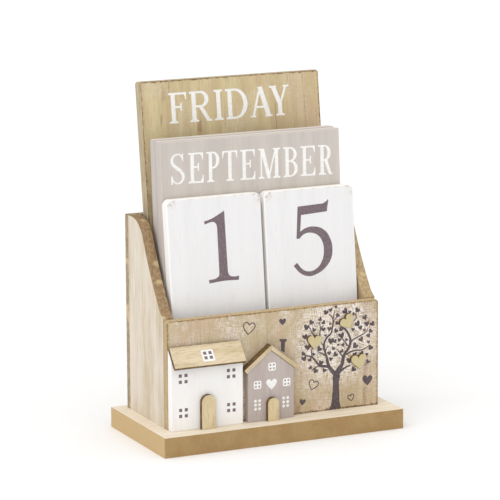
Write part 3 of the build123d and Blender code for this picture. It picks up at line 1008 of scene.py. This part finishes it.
        # S is one stroke, thin at both ends and thick through its spine
        spine = [(0.84, 0.80, thin), (0.72, 0.93, thin), (0.48, 0.975, thin), (0.22, 0.90, thick * 0.75),
                 (0.13, 0.74, thick), (0.32, 0.58, thick * 1.15), (0.66, 0.44, thick * 1.15),
                 (0.87, 0.25, thick), (0.76, 0.08, thick * 0.7), (0.50, 0.02, thin), (0.24, 0.09, thin),
                 (0.10, 0.26, thin)]
        beaks = [plate([(w * 0.86, cap), (w * 0.80, cap), (w * 0.74, cap * 0.9), (w * 0.86, cap * 0.7)]),
                 plate([(w * 0.06, cap * 0.3), (w * 0.06, -cap * 0.01), (w * 0.13, -cap * 0.01),
                        (w * 0.2, cap * 0.1)])]
        return [pen([(x * w, y * cap, width) for x, y, width in spine])] + beaks

    def places(self, text):
        """Where each letter starts, and the length of the word."""
        x = 0.0
        starts = []
        for i, name in enumerate(text):
            if i:
                x -= self.CLOSER.get(text[i - 1] + name, 0.0) * self.cap * self.squeeze
            starts.append(x)
            x += self.widths[name] * self.cap * self.squeeze + self.gap
        return starts, x - self.gap

    def word(self, text):
        """All the shapes of a word, centred on x = 0, standing on y = 0."""
        starts, length = self.places(text)
        made = []
        for name, start in zip(text, starts):
            for bm in self.letter(name, self.widths[name] * self.cap * self.squeeze):
                bmesh.ops.translate(bm, verts=bm.verts, vec=(start - length / 2, 0, 0))
                made.append(bm)
        return made


print("letters drawn:", "".join(Alphabet.WIDTHS))

# %% [markdown]
# ## The words
# The weekday board and the month boards carry a word at the top of both sides. Some carry another
# at the other end, upside down, so that turning the board brings up the next day or month. A word
# is set to a given length, by narrowing or widening its letters and not their strokes.

# %% words on the boards
UPSIDE_DOWN = 180
DAY_CAP = 15.1
MONTH_CAP = 14.9
DAY_TOP = 6.6
MONTH_TOP = 7.2


def print_word(text, node, toward, length, shift=0.0, turn=0.0):
    """Prints a word across a board so that it is length wide. Upside down, it stands at the board's
    other end."""
    face = Face(node, toward)
    narrow = node != "day_board"
    cap, top_gap = (MONTH_CAP, MONTH_TOP) if narrow else (DAY_CAP, DAY_TOP)
    natural = Alphabet(cap, 1.0, narrow).places(text)[1]
    shapes = Alphabet(cap, length / natural, narrow).word(text)
    height = top_gap + cap if turn == UPSIDE_DOWN else face.length / MM - top_gap - cap
    press(text.lower() + "_lettering", shapes, face, node, white_ink, (shift, height), turn)


print_word("FRIDAY", "day_board", FRONT, 65.6, -1.1)
print_word("MONDAY", "day_board", FRONT, 76.0, turn=UPSIDE_DOWN)
print_word("SATURDAY", "day_board", BACK, 84.0)
print_word("SUNDAY", "day_board", BACK, 70.0, turn=UPSIDE_DOWN)
print_word("SEPTEMBER", "month_board_front", FRONT, 88.1, 0.5, turn=-1.1)
print_word("MAY", "month_board_front", FRONT, 40.0, turn=UPSIDE_DOWN)
print_word("OCTOBER", "month_board_front", BACK, 80.0)
print_word("DECEMBER", "month_board_rear", FRONT, 86.0)
print_word("MARCH", "month_board_rear", BACK, 62.0)

# %% [markdown]
# ## The numbers
# The two number tiles have tall figures in the same style, in plum-grey ink. The one and the five
# are filled outlines, drawn from the foot, with sharp points at their cuts and round ones along
# their curves. The two is a pen stroke on a flat base, and the zero is one oval inside another.

# %% figures
ONE = [(11.0, 35.0), (6.6, 32.7, 1), (3.8, 31.5, 1), (0.0, 30.5), (0.3, 29.0), (2.6, 29.7, 1), (4.9, 29.9, 1),
       (6.2, 29.1, 1), (6.8, 27.0), (6.8, 5.5), (6.5, 3.4, 1), (5.4, 2.4, 1), (1.0, 1.7), (1.2, 0.0),
       (9.0, 0.6, 1), (17.1, 0.4), (17.3, 2.4), (14.2, 2.3, 1), (12.3, 3.0, 1), (11.5, 4.5, 1), (11.35, 6.5),
       (11.1, 27.0)]
FIVE = [(3.7, 35.0), (17.6, 35.5), (19.3, 36.3, 1), (20.4, 37.3), (20.8, 37.0), (20.0, 33.4), (19.7, 31.4),
        (5.4, 30.7), (4.5, 22.5), (7.5, 24.0, 1), (12.0, 24.5, 1), (17.6, 22.4, 1), (21.1, 17.1, 1),
        (21.8, 12.7, 1), (20.7, 7.5, 1), (17.1, 3.2, 1), (12.7, 0.8, 1), (8.4, 0.0, 1), (3.8, 1.7, 1),
        (0.0, 5.8), (2.0, 7.2), (4.9, 3.7, 1), (8.5, 2.4, 1), (12.6, 3.5, 1), (15.8, 7.1, 1), (17.0, 11.9, 1),
        (16.5, 16.3, 1), (14.4, 19.7, 1), (10.5, 21.5, 1), (6.5, 21.1, 1), (3.9, 19.1), (2.3, 19.1)]
TWO = [(2.0, 28.0, 2.0), (3.2, 32.2, 2.4), (8.5, 34.6, 2.6), (14.4, 32.0, 3.8), (15.6, 26.0, 4.2),
       (12.6, 18.5, 3.0), (6.5, 10.0, 2.0), (1.6, 3.6, 1.6)]
TWO_BASE = [(0.6, 0.2), (18.4, 0.2), (19.0, 5.6), (18.2, 5.6), (16.6, 3.4), (0.6, 3.4)]
ZERO_MIDDLE = (10.5, 17.5)
# half the width and half the height of the zero's two ovals
ZERO_OUTSIDE = (10.5, 18.0)
ZERO_INSIDE = (6.4, 16.4)
FIGURE_FOOT = 66.8

left_tile = Face("number_tile_left", FRONT)
right_tile = Face("number_tile_right", FRONT)
press("figure_one", [plate(ONE)], left_tile, "number_tile_left", plum_ink, (-5.75, FIGURE_FOOT + 0.7))
press("figure_five", [plate(FIVE)], right_tile, "number_tile_right", plum_ink, (-10.1, FIGURE_FOOT - 0.7))
press("figure_two", [pen(TWO), plate(TWO_BASE)], Face("number_tile_left", BACK), "number_tile_left", plum_ink,
      (-9.5, FIGURE_FOOT))
zero_x, zero_y = ZERO_MIDDLE
zero_outer = bend(zero_x, zero_y, *ZERO_OUTSIDE, 0, RING_END, 48)
zero_inner = bend(zero_x, zero_y, *ZERO_INSIDE, RING_END, 0, 48)
press("figure_zero", [plate(zero_outer + zero_inner)], Face("number_tile_right", BACK), "number_tile_right",
      plum_ink, (-zero_x, FIGURE_FOOT))

# %% [markdown]
# ## Hearts
# Hearts are everywhere on this piece: as leaves, as outlines, over a door. One outline serves all
# the printed ones. It has round lobes and a pointed foot, and is turned and sized for each place.

# %% hearts


def heart_points(size, turn, lean=0.0):
    """The outline of a heart that is size across, centred, and turned anticlockwise by turn degrees.
    Lean moves its foot sideways, as a share of its size."""
    shape = [(0.0, 0.22), (0.14, 0.40, 1), (0.34, 0.42, 1), (0.5, 0.2, 1), (0.36, -0.12, 1), (lean, -0.5),
             (-0.36, -0.12, 1), (-0.5, 0.2, 1), (-0.34, 0.42, 1), (-0.14, 0.40, 1)]
    turned = Matrix.Rotation(math.radians(turn), 2)
    made = []
    for point in shape:
        spot = turned @ Vector((point[0] * size, point[1] * size))
        made.append((spot.x, spot.y) + tuple(point[2:]))
    return made


def moved(points, x, y):
    """The same points, further across and up."""
    return [(p[0] + x, p[1] + y) + tuple(p[2:]) for p in points]


def heart(x, y, size, turn=0.0, lean=0.0):
    """A filled heart, centred at x, y."""
    return plate(moved(heart_points(size, turn, lean), x, y))


def heart_line(x, y, size, turn, width):
    """A heart drawn as a line only, in two strokes that cross at the foot."""
    points = moved(heart_points(size, turn), x, y)
    half = len(points) // 2
    right_half = [(p[0], p[1], width) for p in points[:half + 1]]
    left_half = [(p[0], p[1], width) for p in points[half:] + points[:1]]
    return [pen(right_half), pen(left_half)]


print("a heart's outline has", len(heart_points(1.0, 0.0)), "points")

# %% [markdown]
# ## The tree
# The tree is printed on the front panel: a flared trunk that forks low down, limbs that thin out as
# they climb, and a crown of little heart leaves. Limbs could be filled outlines, but as tapering pen
# strokes they need only a few points each. These are in millimetres, measured from the middle of
# the panel's foot, and each limb starts with its width at both ends.

# %% trunk and limbs
# limbs are printed this much bolder than their widths say
LIMB_SCALE = 1.2
panel = faces["front_panel"]
TRUNK = [(29.7, 0.2), (30.9, 2.3, 1), (31.8, 7.7, 1), (32.2, 13.0, 1), (32.2, 17.4, 1), (33.7, 19.4),
         (36.0, 17.8, 1), (35.6, 14.5, 1), (35.7, 8.5, 1), (36.2, 2.3, 1), (36.9, 0.5)]
LIMBS = [
    (2.3, 0.9, [(34.0, 17.5), (32.4, 19.3), (29.9, 22.7), (28.9, 26.6), (27.8, 30.3)]),
    (1.1, 0.7, [(27.8, 30.3), (27.2, 33.4), (28.7, 37.1), (31.2, 39.3), (32.0, 42.5)]),
    (0.7, 0.45, [(32.0, 42.5), (32.3, 45.6), (31.6, 47.4), (30.0, 49.2)]),
    (0.55, 0.35, [(32.2, 44.6), (32.5, 47.6), (33.3, 50.6)]),
    (0.5, 0.35, [(32.0, 43.2), (33.0, 45.6), (34.4, 47.0)]),
    (1.3, 0.5, [(30.4, 22.3), (27.8, 22.8), (25.0, 23.4), (22.6, 26.0), (20.7, 28.1), (18.6, 29.0),
                (16.4, 29.4)]),
    (0.6, 0.4, [(20.7, 28.4), (20.4, 30.4), (20.6, 32.6)]),
    (0.5, 0.4, [(24.6, 23.4), (22.3, 22.7), (20.4, 21.3)]),
    (0.8, 0.45, [(27.9, 28.2), (26.0, 29.6), (23.6, 30.7)]),
    (0.7, 0.4, [(24.2, 36.9), (21.9, 39.0), (20.1, 41.6), (19.4, 43.4)]),
    (0.7, 0.4, [(25.0, 37.0), (25.0, 40.0), (25.3, 42.2), (24.5, 45.6)]),
    (0.5, 0.35, [(25.2, 41.8), (26.2, 43.0), (27.3, 43.6)]),
    (0.5, 0.35, [(28.3, 30.8), (28.9, 32.2), (29.9, 33.0)]),
    (0.45, 0.3, [(26.9, 31.2), (26.6, 33.6), (25.6, 35.4)]),
    (2.3, 1.1, [(34.1, 17.5), (35.2, 20.2), (37.1, 22.6), (38.1, 26.5), (39.4, 29.2)]),
    (1.3, 0.9, [(39.0, 28.4), (41.2, 31.2), (41.9, 34.8), (40.9, 38.0)]),
    (0.9, 0.6, [(41.0, 37.6), (39.3, 40.1), (37.2, 41.9), (36.0, 43.8)]),
    (0.8, 0.45, [(37.8, 26.2), (36.2, 28.6), (34.4, 30.8)]),
    (0.8, 0.45, [(40.4, 31.8), (38.6, 34.4), (36.4, 36.8)]),
    (0.8, 0.4, [(41.4, 32.4), (43.0, 34.4), (46.5, 36.0), (50.2, 37.7), (52.0, 40.0)]),
    (0.8, 0.4, [(39.6, 27.4), (41.8, 28.6), (45.4, 29.1), (48.8, 29.1), (52.4, 30.8)]),
    (1.3, 0.6, [(35.4, 18.6), (37.6, 20.2), (41.6, 21.8)]),
    (0.6, 0.4, [(44.7, 48.0), (45.0, 45.6), (43.8, 44.2)]),
]


def taper(start, end, points):
    """A limb whose width goes evenly from start to end."""
    last = len(points) - 1
    return pen([(x, y, (start + (end - start) * i / last) * LIMB_SCALE) for i, (x, y) in enumerate(points)])


press("tree_trunk", [plate(TRUNK)] + [taper(*limb) for limb in LIMBS], panel, "front_panel", tree_ink)

# %% [markdown]
# ## Leaves
# Every leaf is the same heart at its own size. A small random turn and lean keep the leaves from
# looking stamped, and a fixed seed gives the same tree each time. A few are only outlines, in a
# paler ink.

# %% leaves
LEAF_SCALE = 1.32
# the most that a leaf is turned either way, in degrees, and that its foot leans, as a share of it
LEAF_TURN = 50
LEAF_LEAN = 0.12
OPEN_LEAF_TURN = 40
OPEN_LEAF_LINE = 0.26
# leaves: across the panel, up it, and size
LEAVES = [
    (28.3, 50.0, 2.1), (30.9, 51.0, 1.7), (33.8, 52.3, 1.3), (34.7, 48.0, 1.7), (34.3, 44.0, 1.6),
    (30.6, 44.1, 1.1), (30.2, 41.5, 1.8), (33.8, 40.2, 1.8), (28.1, 38.4, 1.2), (26.9, 41.6, 1.7),
    (27.1, 45.1, 1.7), (25.1, 46.9, 1.7), (20.2, 45.8, 2.1), (17.6, 43.6, 2.4), (21.6, 41.8, 1.7),
    (16.7, 38.9, 2.1), (18.3, 33.4, 2.4), (24.6, 31.9, 2.1), (37.0, 37.5, 2.4), (35.7, 35.3, 1.6),
    (31.1, 35.3, 2.6), (33.3, 34.9, 1.6), (32.4, 31.3, 1.5), (35.2, 32.9, 1.1), (37.8, 32.6, 1.6),
    (39.0, 49.7, 2.4), (41.5, 49.0, 1.3), (45.7, 49.5, 2.1), (43.6, 47.8, 1.3), (49.9, 45.4, 2.1),
    (45.9, 42.5, 2.4), (47.5, 40.4, 1.8), (51.1, 42.0, 2.1), (54.2, 41.7, 2.1), (49.7, 38.9, 1.3),
    (53.1, 38.1, 1.7), (52.0, 35.9, 1.8), (47.9, 34.4, 2.1), (52.0, 32.6, 1.3), (44.5, 31.5, 2.4),
    (53.1, 29.6, 2.1), (39.6, 35.1, 1.3), (36.5, 40.6, 1.8), (43.3, 39.9, 1.6), (15.7, 30.4, 1.8),
    (16.2, 27.8, 2.1), (19.5, 26.9, 1.7), (21.6, 29.5, 1.3), (25.6, 24.8, 2.1), (19.8, 22.9, 1.6),
    (22.5, 21.0, 2.1), (27.4, 20.7, 1.8), (30.1, 29.2, 1.7), (33.5, 28.2, 2.1), (31.0, 26.1, 1.6),
    (37.2, 29.5, 1.7), (41.3, 24.3, 2.4), (44.5, 27.2, 1.7), (45.6, 25.6, 1.6), (48.3, 27.4, 1.6),
    (51.1, 26.4, 1.3), (51.6, 22.6, 1.8), (43.6, 19.5, 2.1)]
# leaves that are only drawn round
OPEN_LEAVES = [(34.8, 50.8, 1.9), (15.1, 36.0, 2.2), (23.0, 44.4, 1.7), (33.8, 37.8, 1.8), (47.5, 47.3, 2.2),
               (45.2, 37.7, 2.1), (47.6, 31.1, 2.0), (24.4, 28.7, 1.8), (35.4, 25.1, 2.2), (50.8, 24.0, 1.8)]

wander = random.Random(7)
leaf_shapes = [heart(x, y, size * LEAF_SCALE, wander.uniform(-LEAF_TURN, LEAF_TURN),
                     wander.uniform(-LEAF_LEAN, LEAF_LEAN)) for x, y, size in LEAVES]
press("tree_leaves", leaf_shapes, panel, "front_panel", tree_ink)
open_shapes = []
for x, y, size in OPEN_LEAVES:
    turn = wander.uniform(-OPEN_LEAF_TURN, OPEN_LEAF_TURN)
    open_shapes += heart_line(x, y, size * LEAF_SCALE, turn, OPEN_LEAF_LINE)
press("tree_open_leaves", open_shapes, panel, "front_panel", soft_ink)

# %% [markdown]
# ## Small prints on the panel
# A printed chimney stands behind the little house, and stray hearts drift about the tree. The
# filled hearts are plates, and the open ones are drawn with the pen.

# %% chimney and stray hearts
chimney = [plate([(2.7, 38.5), (2.9, 39.2), (6.7, 38.9), (6.8, 37.9), (5.8, 37.4), (5.6, 32.2), (3.6, 33.2),
                  (3.7, 37.5)])]
press("chimney", chimney, panel, "front_panel", tree_ink)
stray = [heart(4.5, 47.8, 3.7, 0.0), heart(15.3, 5.9, 3.4, -12.0), heart(51.4, 13.2, 5.6, -4.0, 0.06)]
stray += heart_line(-13.7, 46.4, 6.3, -10.0, 0.55)
stray += heart_line(21.3, 14.0, 5.2, -22.0, 0.52) + heart_line(42.3, 5.2, 3.4, 12.0, 0.5)
press("stray_hearts", stray, panel, "front_panel", tree_ink)

# %% [markdown]
# ## Windows of the white house
# Each window is four dark panes on the white paint. The skylight on the sloping roof board is a
# white frame with four dark panes printed over it, so these are raised by a hair to show.

# %% windows of the white house
PANE = 1.6
PANE_CORNER = 0.16
SKYLIGHT_X = -38.2
SKYLIGHT_UP = 5.2
SKYLIGHT_SIZE = (6.3, 6.25)
SKYLIGHT_CORNER = 0.6
SKYLIGHT_PANE = 1.65
SKYLIGHT_PANE_CORNER = 0.12


def pane(x, y, width, height, corner):
    """A small pane with rounded corners, centred at x, y."""
    w, h = width / 2, height / 2
    points = []
    for sx, sy, start in ((1, 1, 0), (-1, 1, 90), (-1, -1, 180), (1, -1, 270)):
        cx, cy = sx * (w - corner), sy * (h - corner)
        points += bend(cx, cy, corner, corner, start, start + 90, 3)
    return plate([(x + px, y + py) for px, py in points])


def on_node(node, places):
    """Places across and up the whole object, in millimetres, as places on that node's face."""
    foot = faces[node].matrix.translation
    return [(x - foot.x / MM, z - foot.z / MM) for x, z in places]


house = faces["white_house_body"]
roof = faces["white_house_roof"]
pane_places = [(x, z) for x in (-52.4, -49.4, -26.85, -23.9) for z in (37.5, 34.4, 20.4, 17.4)]
panes = [pane(x, y, PANE, PANE, PANE_CORNER) for x, y in on_node("white_house_body", pane_places)]
press("house_panes", panes, house, "white_house_body", plum_ink)
sky_x = SKYLIGHT_X - roof.matrix.translation.x / MM
skylight = [pane(sky_x, SKYLIGHT_UP, *SKYLIGHT_SIZE, SKYLIGHT_CORNER)]
press("skylight", skylight, roof, "white_house_roof", white_ink)
sky_panes = [pane(sky_x + dx, SKYLIGHT_UP + 0.1 + dy, SKYLIGHT_PANE, SKYLIGHT_PANE, SKYLIGHT_PANE_CORNER)
             for dx in (-1.4, 1.4) for dy in (-1.28, 1.28)]
press("skylight_panes", sky_panes, roof, "white_house_roof", plum_ink, clear=OVER_INK)

# %% [markdown]
# ## Windows of the taupe house
# Here the windows are white. Three are panes with four taupe dots printed over each. On each side
# of the door there are two columns of three white dots, and a white heart is over the door.

# %% windows of the taupe house
WINDOW = 4.1
WINDOW_CORNER = 0.8
WHITE_DOT = 1.5
TAUPE_DOT = 1.05
DOT_OUT = 0.9
small = faces["taupe_house_body"]


def dot(x, y, width):
    """A round dot, centred at x, y."""
    return plate(bend(x, y, width / 2, width / 2, 0, 345, 15))


window_places = on_node("taupe_house_body", [(-3.26, 36.9), (-11.2, 28.5), (4.66, 28.3)])
white_shapes = [pane(x, y, WINDOW, WINDOW, WINDOW_CORNER) for x, y in window_places]
for x0, rows in ((-12.35, (20.45, 18.5, 16.4)), (2.95, (20.35, 18.3, 16.3))):
    spots = on_node("taupe_house_body", [(x, z) for x in (x0, x0 + 2.2) for z in rows])
    white_shapes += [dot(x, y, WHITE_DOT) for x, y in spots]
heart_x, heart_y = on_node("taupe_house_body", [(-3.56, 28.2)])[0]
white_shapes.append(heart(heart_x, heart_y, 5.7))
press("taupe_house_windows", white_shapes, small, "taupe_house_body", white_ink)
taupe_dots = [dot(x + dx, y + dy, TAUPE_DOT) for x, y in window_places
              for dx in (-DOT_OUT, DOT_OUT) for dy in (-DOT_OUT, DOT_OUT)]
press("taupe_house_window_dots", taupe_dots, small, "taupe_house_body", taupe_ink, clear=OVER_INK)

# %% [markdown]
# ## Floor
# The floor is matt white paper. It has only a trace of cloud in its tone, so that it takes soft
# shadows and doesn't draw the eye.

# %% floor finish
floor_material, floor_tree, floor_shader = new_material("white_sweep", 0.9, 0.1)
floor_spot = add(floor_tree, "ShaderNodeTexCoord").outputs["Object"]
floor_cloud = noise(floor_tree, floor_spot, 2.0)
floor_colour = mix(floor_tree, floor_cloud, "#FBFBFB", "#FDFDFD")
finish_shader(floor_tree, floor_shader, floor_colour, floor_cloud, 0.0001)
floor.data.materials.append(floor_material)
print("floor is finished in", floor_material.name)
